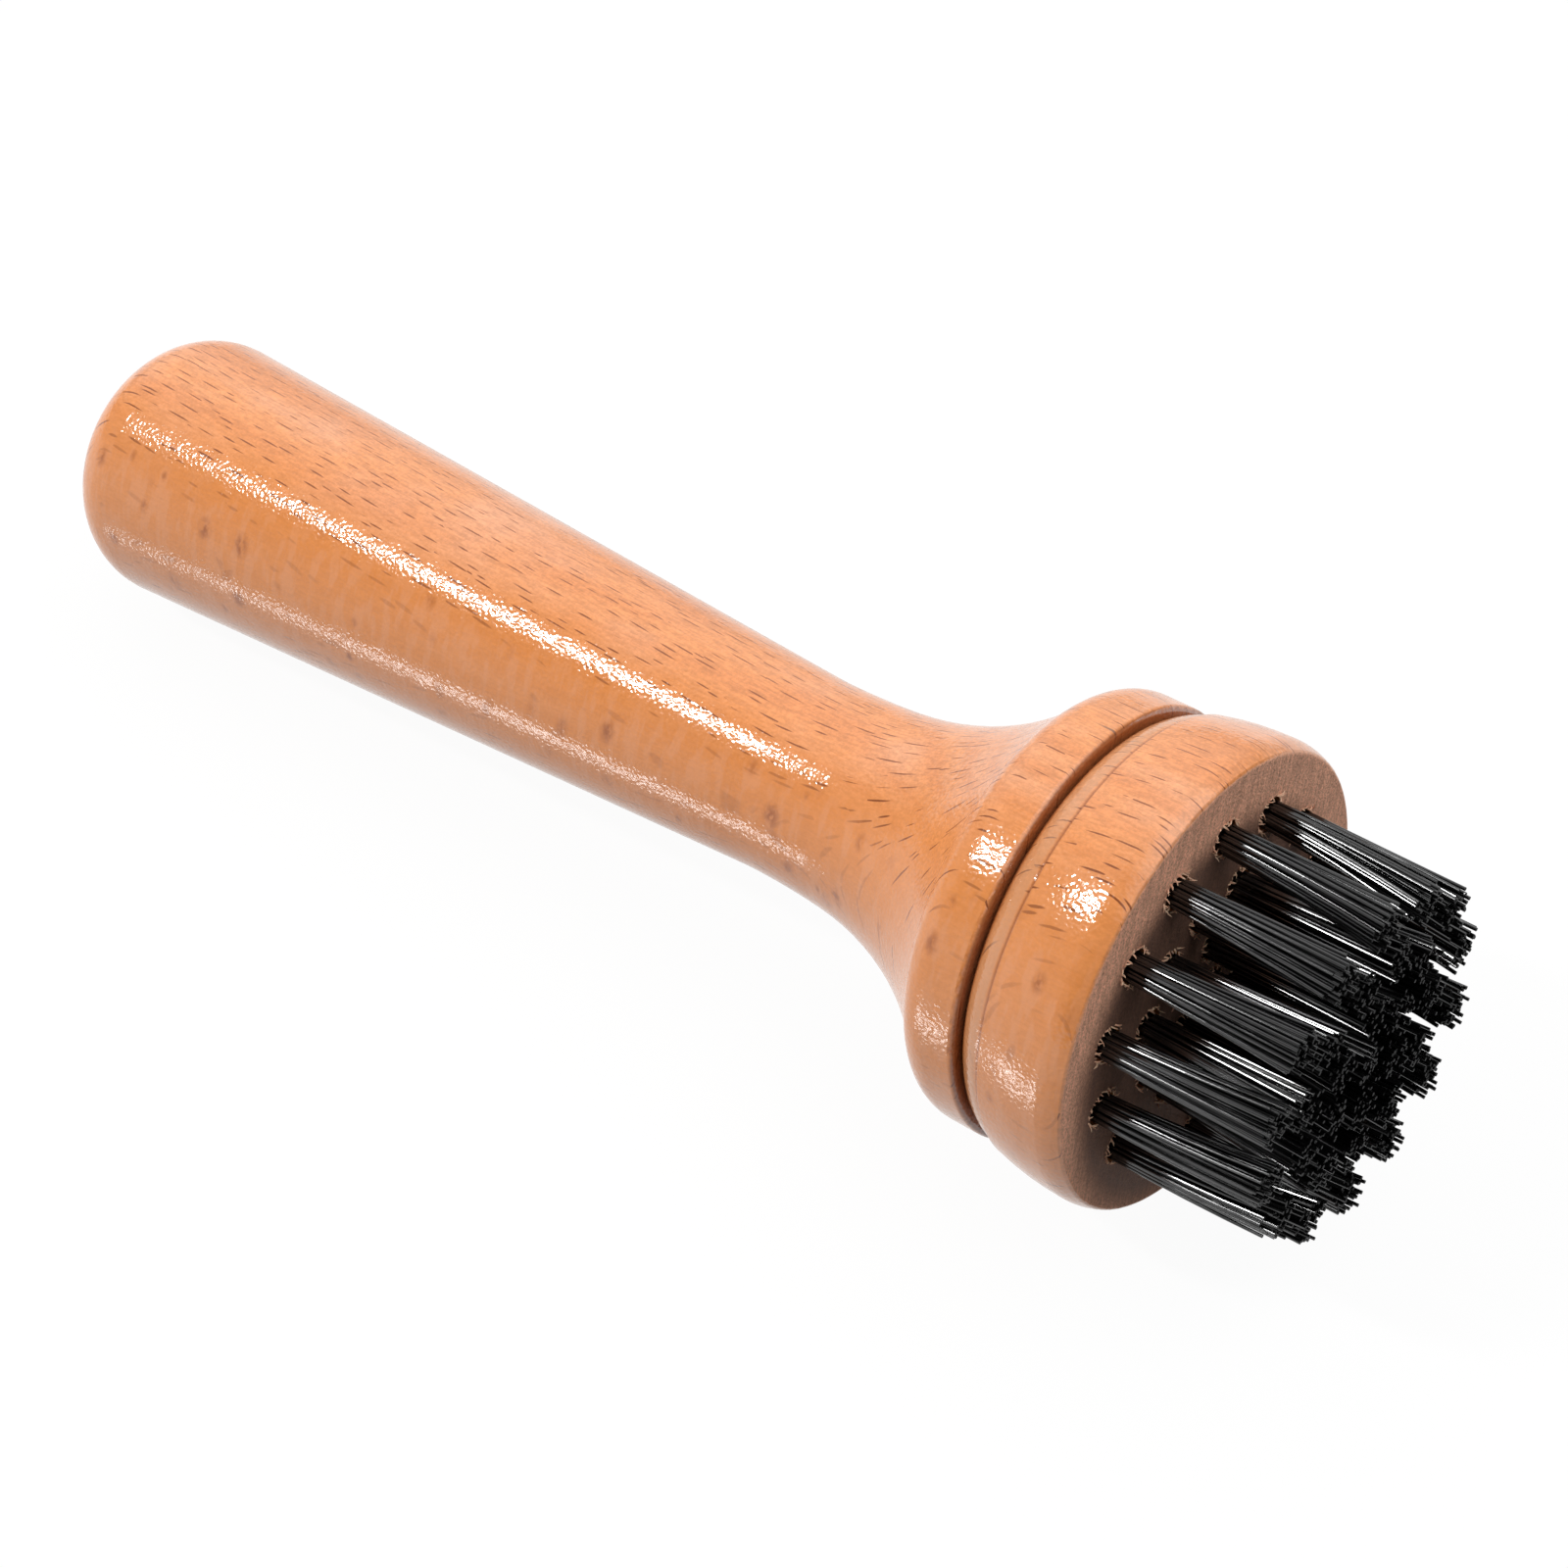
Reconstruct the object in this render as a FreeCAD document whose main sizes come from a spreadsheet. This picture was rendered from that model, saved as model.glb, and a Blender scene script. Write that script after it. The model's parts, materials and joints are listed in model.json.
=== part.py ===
import FreeCAD, Part
import math
import os

import Sketcher
from FreeCAD import Placement, Rotation, Vector

# Turned beech brush with folded nylon tufts, each held in a drilled hole by a flat wire anchor.
# Every piece is drawn about the brush's own axis: Z = 0 is the drilled face, the tufts point
# along +Z, the wood lies along -Z, and +X is the side that is uppermost when the brush lies down.
# Lengths are in millimetres and angles in degrees.
SIZES = {
    # head ring; each drop or fall is how much smaller a radius is than the one before it
    "head_radius": 22.5,
    "rim_drop": 0.6,
    "head_crest": 2.3,            # face to the widest point
    "ring_length": 9.0,           # face to the ring's rear shoulder
    "shoulder_drop": 0.8,
    # bead and groove behind the ring, then the flange
    "bead_step": 0.3,
    "bead_curve": 3.73,
    "groove_position": 12.0,      # face to the flange's front wall
    "groove_depth": 1.6,          # flange's edge to the foot of its wall
    "flange_drop": 1.3,
    "flange_land": 3.4,
    "flange_length": 6.75,
    "flange_fall": 2.1,
    # cove, neck and grip
    "cove_curve": 30.0,
    "neck_curve": 86.0,
    "neck_position": 45.3,
    "neck_radius": 9.8,
    "throat_curve": 45.0,
    "grip_radius": 14.1,
    "butt_curve": 7.1,
    "butt_length": 9.7,           # widest point of the grip to the butt's end
    "wood_length": 139.2,
    # eased edges
    "rim_round": 0.4,
    "shoulder_round": 0.2,
    "flange_round": 0.5,
    # tuft holes
    "hole_diameter": 3.4,
    "hole_depth": 10.0,
    "drill_angle": 118.0,
    "outer_margin": 5.8,          # drilled face's edge to the outer ring's centres
    "middle_share": 0.6025,       # middle and inner rings' places between the axis and the outer
    "inner_share": 0.298,
    "inner_count": 6,
    "middle_count": 11,
    "outer_count": 14,
    "inner_turn": -2.8,           # first hole's angle from the uppermost side
    "middle_turn": 10.5,
    "outer_turn": -5.2,
    # tufts
    "bristle_length": 16.3,       # face to the trimmed ends
    "trim_radius": 2.0,
    "inner_lean": 0.5,            # how far outwards a ring's tufts lean by their trimmed ends
    "middle_lean": 0.3,
    "outer_lean": -1.1,
    "fold_thickness": 1.4,        # filament under the anchor
    "fold_round": 1.1,
    "root_clearance": 0.08,
    "floor_clearance": 0.2,
    # flat wire anchors
    "anchor_length": 3.9,
    "anchor_height": 1.6,
    "anchor_thickness": 0.35,
    "anchor_clearance": 0.03,
}
RINGS = ("inner", "middle", "outer")

os.makedirs("parts", exist_ok=True)
doc = FreeCAD.newDocument("beard_brush")


class Length:
    """A length held both as a number and as a formula over the sheet."""

    def __init__(self, number, formula):
        self.number = number
        self.formula = formula

    def __add__(self, other):
        return Length(self.number + other.number, f"({self.formula} + {other.formula})")

    def __sub__(self, other):
        return Length(self.number - other.number, f"({self.formula} - {other.formula})")

    def __mul__(self, factor):
        return Length(self.number * factor, f"({factor} * {self.formula})")

    def part(self, name):
        return Length(self.number * SIZES[name], f"({self.formula} * sizes.{name})")


def size(name):
    return Length(SIZES[name], f"sizes.{name}")


# radii and distances that follow from the sizes
FACE_RADIUS = size("head_radius") - size("rim_drop")
SHOULDER_RADIUS = size("head_radius") - size("shoulder_drop")
BEAD_RADIUS = SHOULDER_RADIUS - size("bead_step")
FLANGE_RADIUS = size("head_radius") - size("flange_drop")
GROOVE_RADIUS = FLANGE_RADIUS - size("groove_depth")
FLANGE_BACK_RADIUS = FLANGE_RADIUS - size("flange_fall")
LAND_END = size("groove_position") + size("flange_land")
FLANGE_END = size("groove_position") + size("flange_length")
GRIP_POSITION = size("wood_length") - size("butt_length")
ROOT_RADIUS = size("hole_diameter") * 0.5 - size("root_clearance")
ROOT_DEPTH = size("hole_depth") - size("floor_clearance")
ANCHOR_BOTTOM = ROOT_DEPTH - size("fold_thickness")
SLOT_TOP = ANCHOR_BOTTOM - size("anchor_height") - size("anchor_clearance")
SLOT_HEIGHT = size("anchor_height") + size("anchor_clearance") * 2
SLOT_WIDTH = size("anchor_thickness") + size("anchor_clearance") * 2
SLOT_LENGTH = size("anchor_length") + size("anchor_clearance") * 2

# how far from the axis each ring's holes and trimmed ends lie
ZERO = Length(0.0, "0")
OUTER_PLACE = FACE_RADIUS - size("outer_margin")
HOLE_PLACES = {"centre": ZERO, "inner": OUTER_PLACE.part("inner_share"),
               "middle": OUTER_PLACE.part("middle_share"), "outer": OUTER_PLACE}
TRIM_PLACES = {ring: HOLE_PLACES[ring] + size(f"{ring}_lean") for ring in RINGS}
TRIM_PLACES["centre"] = ZERO


def make_sheet():
    sheet = doc.addObject("Spreadsheet::Sheet", "sizes")
    for row, (alias, value) in enumerate(SIZES.items(), start=1):
        sheet.set(f"A{row}", alias)
        sheet.set(f"B{row}", str(value))
        sheet.setAlias(f"B{row}", alias)
    doc.recompute()
    return sheet


# ---- sketch helpers -------------------------------------------------------------------------

def add_body(label):
    body = doc.addObject("PartDesign::Body", label)
    body.Label = label
    return body


def add_feature(body, kind, name, **properties):
    feature = body.newObject(kind, f"{body.Name}_{name}")
    for key, value in properties.items():
        setattr(feature, key, value)
    return feature


def add_sketch(body, name, role="XY_Plane", height=ZERO):
    sketch = body.newObject("Sketcher::SketchObject", f"{body.Name}_{name}")
    plane = next(item for item in body.Origin.OriginFeatures if item.Role == role)
    sketch.AttachmentSupport = [(plane, "")]
    sketch.MapMode = "FlatFace"
    sketch.setExpression("AttachmentOffset.Base.z", height.formula)
    return sketch


def bind(sketch, name, length, kind, *places):
    index = sketch.addConstraint(Sketcher.Constraint(kind, *places, length.number))
    sketch.renameConstraint(index, name)
    sketch.setExpression(f"Constraints.{name}", length.formula)


def add_circle(sketch, name, radius, centre_x):
    """A circle centred on the sketch's X axis."""
    centre = Vector(centre_x.number, 0, 0)
    circle = sketch.addGeometry(Part.Circle(centre, Vector(0, 0, 1), radius.number))
    sketch.addConstraint(Sketcher.Constraint("PointOnObject", circle, 3, -1))
    bind(sketch, f"{name}_radius", radius, "Radius", circle)
    bind(sketch, f"{name}_centre", centre_x, "DistanceX", -1, 1, circle, 3)


def add_slot(sketch, length, width, centre_x):
    """A rectangle across the sketch's X axis: its long side runs along Y."""
    middle, half_x, half_y = centre_x.number, width.number / 2, length.number / 2
    corners = [Vector(middle + x * half_x, y * half_y, 0) for x, y in ((-1, -1), (1, -1), (1, 1), (-1, 1))]
    sides = [sketch.addGeometry(Part.LineSegment(corners[i], corners[(i + 1) % 4])) for i in range(4)]
    for i, side in enumerate(sides):
        sketch.addConstraint(Sketcher.Constraint("Coincident", side, 2, sides[(i + 1) % 4], 1))
        sketch.addConstraint(Sketcher.Constraint(("Horizontal", "Vertical")[i % 2], side))
    centre = sketch.addGeometry(Part.Point(Vector(middle, 0, 0)), True)
    sketch.addConstraint(Sketcher.Constraint("PointOnObject", centre, 1, -1))
    sketch.addConstraint(Sketcher.Constraint("Symmetric", sides[0], 1, sides[2], 1, centre, 1))
    bind(sketch, "slot_length", length, "DistanceY", sides[1], 1, sides[1], 2)
    bind(sketch, "slot_width", width, "DistanceX", sides[0], 1, sides[0], 2)
    bind(sketch, "slot_centre", centre_x, "DistanceX", -1, 1, centre, 1)


# ---- handle ---------------------------------------------------------------------------------

class TurnedProfile:
    """Half of the turned outline: sketch X is the radius, sketch -Y the distance from the face."""

    def __init__(self, sketch):
        self.sketch = sketch
        self.end = None
        self.tip = Vector(0, 0, 0)

    def _join(self, first, last, target, smooth):
        if self.end:
            kind = "Tangent" if smooth else "Coincident"
            self.sketch.addConstraint(Sketcher.Constraint(kind, *self.end, *first))
        self.end = last
        self.tip = target
        return last[0]

    def line(self, radius, depth, smooth=False):
        """A straight to this radius and distance from the face, both plain numbers."""
        target = Vector(radius, -depth, 0)
        line = self.sketch.addGeometry(Part.LineSegment(self.tip, target))
        return self._join((line, 1), (line, 2), target, smooth)

    def arc(self, centre_radius, centre_depth, radius, depth, hollow=False, smooth=False):
        """A solid's bulge runs clockwise from the face to the butt, a hollow counter-clockwise."""
        centre = Vector(centre_radius, -centre_depth, 0)
        target = Vector(radius, -depth, 0)
        ends = (self.tip, target) if hollow else (target, self.tip)
        angles = [math.atan2(*reversed((point - centre)[:2])) for point in ends]
        if angles[1] < angles[0]:
            angles[1] += 2 * math.pi
        circle = Part.Circle(centre, Vector(0, 0, 1), (target - centre).Length)
        arc = self.sketch.addGeometry(Part.ArcOfCircle(circle, *angles))
        first, last = (1, 2) if hollow else (2, 1)
        return self._join((arc, first), (arc, last), target, smooth)

    def bulge(self, name, radius, depth, middle):
        """An arc to this radius and depth; its centre is as far from the face as middle."""
        start, across = self.tip, self.tip.x ** 2 - radius.number ** 2
        lengthwise = (start.y + middle.number) ** 2 - (depth.number - middle.number) ** 2
        centre = (across + lengthwise) / (2 * (start.x - radius.number))
        arc = self.arc(centre, middle.number, radius.number, depth.number)
        self.place(name, radius, depth)
        self.place(f"{name}_centre", depth=middle, point=(arc, 3))
        return arc

    def place(self, name, radius=None, depth=None, point=None):
        """Bind a point, by default the outline's present end, to the sheet."""
        point = point or self.end
        if radius:
            bind(self.sketch, f"{name}_r", radius, "DistanceX", -1, 1, *point)
        if depth:
            bind(self.sketch, f"{name}_z", depth, "DistanceY", *point, -1, 1)

    def curve(self, name, arc):
        bind(self.sketch, name, size(name), "Radius", arc)


def draw_head(profile):
    """Face, rounded head ring, bead, groove and flange."""
    sketch = profile.sketch
    face = profile.line(FACE_RADIUS.number, 0)
    sketch.addConstraint(Sketcher.Constraint("Coincident", face, 1, -1, 1))
    sketch.addConstraint(Sketcher.Constraint("Horizontal", face))
    profile.place("face", FACE_RADIUS)
    profile.bulge("crest", size("head_radius"), size("head_crest"), size("head_crest"))
    crown = profile.bulge("shoulder", SHOULDER_RADIUS, size("ring_length"), size("head_crest"))
    step = profile.line(BEAD_RADIUS.number, SIZES["ring_length"])
    sketch.addConstraint(Sketcher.Constraint("Horizontal", step))
    profile.place("step", BEAD_RADIUS)

    # the bead falls to the foot of the flange's wall
    start = profile.tip
    foot = Vector(GROOVE_RADIUS.number, -SIZES["groove_position"], 0)
    chord = foot - start
    inwards = Vector(chord.y, -chord.x, 0) / chord.Length
    centre = (start + foot) / 2 + inwards * math.sqrt(SIZES["bead_curve"] ** 2 - (chord.Length / 2) ** 2)
    bead = profile.arc(centre.x, -centre.y, foot.x, -foot.y)
    profile.curve("bead_curve", bead)
    profile.place("groove", GROOVE_RADIUS, size("groove_position"))

    wall = profile.line(FLANGE_RADIUS.number, SIZES["groove_position"])
    sketch.addConstraint(Sketcher.Constraint("Horizontal", wall))
    profile.place("flange", FLANGE_RADIUS)
    land = profile.line(FLANGE_RADIUS.number, LAND_END.number)
    sketch.addConstraint(Sketcher.Constraint("Vertical", land))
    profile.place("land", depth=LAND_END)
    profile.bulge("flange_back", FLANGE_BACK_RADIUS, FLANGE_END, LAND_END)
    return crown


def draw_grip(profile):
    """Cove, neck, straight flare and domed butt, each tangent to the next."""
    s = SIZES
    sketch = profile.sketch
    start = profile.tip
    slope = (s["grip_radius"] - s["neck_radius"]) / (GRIP_POSITION.number - s["neck_position"])

    # the cove meets the neck arc where both have the same tangent
    neck_centre = Vector(s["neck_radius"] + s["neck_curve"], -s["neck_position"], 0)
    reach = neck_centre - start
    far = s["neck_curve"] - s["cove_curve"]
    along = (s["cove_curve"] ** 2 - far ** 2 + reach.Length ** 2) / (2 * reach.Length)
    aside = math.sqrt(max(s["cove_curve"] ** 2 - along ** 2, 0))
    unit = reach / reach.Length
    cove_centre = start + unit * along + Vector(unit.y, -unit.x, 0) * aside
    meeting = neck_centre + (cove_centre - neck_centre).normalize() * s["neck_curve"]
    cove = profile.arc(cove_centre.x, -cove_centre.y, meeting.x, -meeting.y, hollow=True)
    profile.curve("cove_curve", cove)
    neck = profile.arc(neck_centre.x, s["neck_position"], s["neck_radius"], s["neck_position"],
                       hollow=True, smooth=True)
    profile.curve("neck_curve", neck)
    profile.place("neck", size("neck_radius"), size("neck_position"))
    profile.place("neck_centre", depth=size("neck_position"), point=(neck, 3))

    throat_run = s["throat_curve"] * slope
    throat = profile.arc(s["neck_radius"] + s["throat_curve"], s["neck_position"],
                         s["neck_radius"] + throat_run * slope / 2, s["neck_position"] + throat_run,
                         hollow=True)
    profile.curve("throat_curve", throat)
    profile.place("throat_centre", depth=size("neck_position"), point=(throat, 3))

    butt_axis = s["grip_radius"] - s["butt_curve"]
    profile.line(s["grip_radius"], GRIP_POSITION.number - s["butt_curve"] * slope, smooth=True)
    # the dome is centred on the axis and touches the butt arc from outside
    overhang = s["butt_length"]
    dome_curve = (butt_axis ** 2 + overhang ** 2 - s["butt_curve"] ** 2) / (2 * (overhang - s["butt_curve"]))
    dome_centre = Vector(0, dome_curve - s["wood_length"], 0)
    butt_centre = Vector(butt_axis, -GRIP_POSITION.number, 0)
    meeting = dome_centre + (butt_centre - dome_centre).normalize() * dome_curve
    butt = profile.arc(butt_axis, GRIP_POSITION.number, meeting.x, -meeting.y, smooth=True)
    profile.curve("butt_curve", butt)
    profile.place("butt_centre", size("grip_radius") - size("butt_curve"), GRIP_POSITION, (butt, 3))
    dome = profile.arc(0, -dome_centre.y, 0, s["wood_length"], smooth=True)
    sketch.addConstraint(Sketcher.Constraint("PointOnObject", dome, 3, -2))
    profile.place("butt_end", depth=size("wood_length"))
    axis = profile.line(0, 0)
    sketch.addConstraint(Sketcher.Constraint("Coincident", axis, 2, -1, 1))
    sketch.addConstraint(Sketcher.Constraint("Vertical", axis))
    return butt


def round_edge(body, name, radius, depth):
    """Ease the circular edge of this radius at this distance from the face."""
    doc.recompute()
    base = body.Tip
    for number, edge in enumerate(base.Shape.Edges, start=1):
        if edge.Degenerated or not isinstance(edge.Curve, Part.Circle):
            continue
        if math.hypot(edge.Curve.Radius - radius.number, edge.Curve.Center.z + depth.number) < 0.01:
            fillet = add_feature(body, "PartDesign::Fillet", name, Base=(base, [f"Edge{number}"]))
            fillet.setExpression("Radius", f"sizes.{name}_round")
            return
    raise ValueError(f"no edge for {name}")


def drill_ring(body, ring):
    """Drill one ring's hole and its anchor slot, then repeat both around the axis."""
    mouth = add_sketch(body, f"{ring}_mouth")
    add_circle(mouth, "mouth", size("hole_diameter") * 0.5, HOLE_PLACES[ring])
    slot = add_sketch(body, f"{ring}_slot", height=ZERO - SLOT_TOP)
    add_slot(slot, SLOT_LENGTH, SLOT_WIDTH, HOLE_PLACES[ring])
    turn = "0" if ring == "centre" else f"sizes.{ring}_turn"
    for sketch in (mouth, slot):
        sketch.setExpression("AttachmentOffset.Rotation.Angle", turn)
    doc.recompute()

    hole = add_feature(body, "PartDesign::Hole", f"{ring}_hole", Profile=mouth)
    doc.recompute()
    hole.DepthType = "Dimension"
    hole.DrillPoint = "Angled"
    hole.setExpression("Diameter", "sizes.hole_diameter")
    hole.setExpression("Depth", "sizes.hole_depth")
    hole.setExpression("DrillPointAngle", "sizes.drill_angle")
    doc.recompute()
    pocket = add_feature(body, "PartDesign::Pocket", f"{ring}_anchor_slot", Profile=slot)
    pocket.setExpression("Length", SLOT_HEIGHT.formula)
    doc.recompute()
    if ring != "centre":
        pattern = add_feature(body, "PartDesign::PolarPattern", f"{ring}_ring", Originals=[hole, pocket],
                              Axis=(mouth, ["N_Axis"]), Angle=360)
        pattern.setExpression("Occurrences", f"sizes.{ring}_count")
        body.Tip = pattern
        doc.recompute()


def make_handle():
    body = add_body("handle")
    outline = add_sketch(body, "outline", "XZ_Plane")
    profile = TurnedProfile(outline)
    crown = draw_head(profile)
    butt = draw_grip(profile)
    doc.recompute()
    add_feature(body, "PartDesign::Revolution", "turning", Profile=outline,
                ReferenceAxis=(outline, ["V_Axis"]), Angle=360)
    round_edge(body, "rim", FACE_RADIUS, ZERO)
    round_edge(body, "shoulder", SHOULDER_RADIUS, size("ring_length"))
    round_edge(body, "flange", FLANGE_RADIUS, size("groove_position"))
    for ring in ("centre",) + RINGS:
        drill_ring(body, ring)
    return body, [outline.Geometry[index] for index in (crown, butt)]


# ---- tufts and anchors ----------------------------------------------------------------------

def make_tuft(label, ring):
    """Filaments folded round an anchor: a snug root, a rounded fold and a leaning, flared brush end."""
    body = add_body(label)
    mouth = add_sketch(body, "mouth")
    add_circle(mouth, "mouth", ROOT_RADIUS, HOLE_PLACES[ring])
    trim = add_sketch(body, "trim", height=size("bristle_length"))
    add_circle(trim, "trim", size("trim_radius"), TRIM_PLACES[ring])
    doc.recompute()
    add_feature(body, "PartDesign::AdditiveLoft", "brush_end", Profile=mouth, Sections=[trim], Ruled=True)
    fold = add_sketch(body, "fold", height=ZERO - ROOT_DEPTH)
    add_circle(fold, "fold", ROOT_RADIUS, HOLE_PLACES[ring])
    root = add_feature(body, "PartDesign::Pad", "root", Profile=fold)
    root.setExpression("Length", ROOT_DEPTH.formula)
    round_edge(body, "fold", ROOT_RADIUS, ROOT_DEPTH)
    slot = add_sketch(body, "slot", height=ZERO - SLOT_TOP)
    add_slot(slot, size("hole_diameter") * 2, SLOT_WIDTH, HOLE_PLACES[ring])
    eye = add_feature(body, "PartDesign::Pocket", "anchor_eye", Profile=slot)
    eye.setExpression("Length", SLOT_HEIGHT.formula)
    doc.recompute()
    return body


def make_anchor(label):
    """A length of flat wire across the hole, standing on edge; its ends bite into the wood."""
    wire = doc.addObject("Part::Box", label)
    wire.setExpression("Length", "sizes.anchor_thickness")
    wire.setExpression("Width", "sizes.anchor_length")
    wire.setExpression("Height", "sizes.anchor_height")
    doc.recompute()
    return wire


# ---- assembly -------------------------------------------------------------------------------

def lying_pitch(crown, butt):
    """The pitch and height at which the head's crown and the butt both touch the floor."""
    centres = [Vector(-arc.Center.y, arc.Center.x, 0) for arc in (crown, butt)]
    gap = centres[1] - centres[0]
    pitch = math.asin((crown.Radius - butt.Radius) / gap.Length) - math.atan2(gap.y, gap.x)
    height = centres[0].x * math.sin(pitch) + centres[0].y * math.cos(pitch) + crown.Radius
    return pitch, height


def lying_placement(pitch, height, shift=0.0):
    along = Vector(math.cos(pitch), 0, math.sin(pitch))
    up = Vector(-math.sin(pitch), 0, math.cos(pitch))
    return Placement(Vector(shift, 0, height), Rotation(up, along.cross(up), along, "ZXY"))


def tuft_turns():
    """Every tuft's name, ring and angle about the axis."""
    yield "tuft_centre", "centre", 0.0
    for ring in RINGS:
        count = int(SIZES[f"{ring}_count"])
        for number in range(count):
            yield f"tuft_{ring}_{number + 1}", ring, SIZES[f"{ring}_turn"] + 360 * number / count


def anchor_placement(ring, turn):
    inner_side = HOLE_PLACES[ring].number - SIZES["anchor_thickness"] / 2
    corner = Vector(inner_side, -SIZES["anchor_length"] / 2, -ANCHOR_BOTTOM.number)
    return Placement(Vector(0, 0, 0), Rotation(Vector(0, 0, 1), turn)).multiply(Placement(corner, Rotation()))


def main():
    make_sheet()
    handle, (crown, butt) = make_handle()
    pitch, height = lying_pitch(crown, butt)
    pieces = {"handle": (handle, Placement())}
    anchors = []
    for label, ring, turn in tuft_turns():
        spin = Placement(Vector(0, 0, 0), Rotation(Vector(0, 0, 1), turn))
        pieces[label] = (make_tuft(label, ring), spin)
        wire = make_anchor(label.replace("tuft", "anchor"))
        wire.Placement = anchor_placement(ring, turn)
        anchors.append(wire)
    group = doc.addObject("Part::Compound", "anchor_wires")
    group.Label = "anchor_wires"
    group.Links = anchors
    pieces["anchor_wires"] = (group, Placement())

    # the frame's origin is under the middle of the lying brush
    lying = lying_placement(pitch, height)
    for body, own in pieces.values():
        body.Placement = lying.multiply(own)
    doc.recompute()
    boxes = [body.Shape.optimalBoundingBox(False, False) for body, own in pieces.values()]
    middle = (min(box.XMin for box in boxes) + max(box.XMax for box in boxes)) / 2
    lying = lying_placement(pitch, height, shift=-middle)
    for body, own in pieces.values():
        body.Placement = lying.multiply(own)
    doc.recompute()

    for item in doc.Objects:
        if "Invalid" in item.State or "Error" in item.State:
            raise ValueError(f"{item.Label} is {item.State}")
    for label, (body, own) in pieces.items():
        if body.Shape.isNull() or not body.Shape.isValid():
            raise ValueError(f"{label} has no valid shape")
        body.Shape.exportStep(f"parts/{label}.step")


main()
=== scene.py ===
import json
import math
import random

import bpy
from bpy.props import FloatProperty, FloatVectorProperty, IntProperty, PointerProperty
from mathutils import Matrix, Vector


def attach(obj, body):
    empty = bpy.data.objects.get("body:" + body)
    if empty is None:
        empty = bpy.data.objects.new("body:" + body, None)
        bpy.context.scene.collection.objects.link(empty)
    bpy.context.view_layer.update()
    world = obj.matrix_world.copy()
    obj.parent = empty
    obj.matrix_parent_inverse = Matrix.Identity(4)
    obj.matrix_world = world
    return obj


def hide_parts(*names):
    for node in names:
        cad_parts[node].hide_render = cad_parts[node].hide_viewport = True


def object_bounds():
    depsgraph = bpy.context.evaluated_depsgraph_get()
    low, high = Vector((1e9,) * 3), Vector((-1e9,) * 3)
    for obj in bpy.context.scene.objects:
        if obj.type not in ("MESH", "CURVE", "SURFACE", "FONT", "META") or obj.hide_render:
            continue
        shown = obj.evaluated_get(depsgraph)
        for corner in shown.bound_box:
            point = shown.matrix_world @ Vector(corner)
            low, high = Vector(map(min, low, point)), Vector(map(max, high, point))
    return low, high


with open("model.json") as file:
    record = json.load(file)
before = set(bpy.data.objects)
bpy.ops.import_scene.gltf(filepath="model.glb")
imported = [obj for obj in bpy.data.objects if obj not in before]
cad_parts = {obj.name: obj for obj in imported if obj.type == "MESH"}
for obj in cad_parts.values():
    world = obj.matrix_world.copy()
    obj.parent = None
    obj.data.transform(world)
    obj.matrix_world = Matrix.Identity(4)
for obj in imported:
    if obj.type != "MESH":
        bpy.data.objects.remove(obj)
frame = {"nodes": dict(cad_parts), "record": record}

bl_info = {
    "name": "Turned Beech Beard Brush",
    "version": (1, 0, 0),
    "blender": (4, 5, 0),
    "location": "View3D > Sidebar > Brush",
    "description": "Dresses a turned brush: lacquered beech, filament tufts, torn hole rims and a studio",
    "category": "Object",
}

cad_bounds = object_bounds()

# The brush's own directions: AXIS runs from the wood to the trimmed ends, UP is square to it on
# the uppermost side, and SIDE points at the viewer's side.
MOUNTS = {mount["name"]: mount for mount in frame["record"]["mounts"]}
TRIM_CENTRE = Vector(MOUNTS["trimmed_ends"]["pos_m"])
AXIS = Vector(MOUNTS["trimmed_ends"]["axis"]).normalized()
SIDE = Vector((0, -1, 0))
UP = SIDE.cross(AXIS)
MILLIMETRE = 0.001


def along_axis(point):
    """Distance from the trimmed ends towards the butt."""
    return (TRIM_CENTRE - Vector(point)).dot(AXIS)


# ---- settings -------------------------------------------------------------------------------

class BrushSizes(bpy.types.PropertyGroup):
    bristle_length: FloatProperty(
        name="Bristle length", description="From the drilled face to the trimmed ends",
        default=0.0163, min=0.005, max=0.04, unit="LENGTH")
    filament_width: FloatProperty(
        name="Filament width", description="Diameter of one nylon filament",
        default=0.00035, min=0.0001, max=0.001, unit="LENGTH")
    filaments: IntProperty(
        name="Filaments in a tuft", description="Number of filament ends in one tuft",
        default=54, min=7, max=200)
    root_radius: FloatProperty(
        name="Root radius", description="Radius of a tuft where it leaves its hole",
        default=0.00130, min=0.0005, max=0.003, unit="LENGTH")
    trim_radius: FloatProperty(
        name="Trim radius", description="Radius of a tuft at its trimmed ends",
        default=0.00208, min=0.0005, max=0.004, unit="LENGTH")
    ragged: FloatProperty(
        name="Ragged ends", description="How unevenly the filaments are trimmed",
        default=0.00036, min=0.0, max=0.003, unit="LENGTH")
    hole_radius: FloatProperty(
        name="Hole radius", description="Radius of the drilled tuft holes",
        default=0.0017, min=0.0005, max=0.003, unit="LENGTH")


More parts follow.
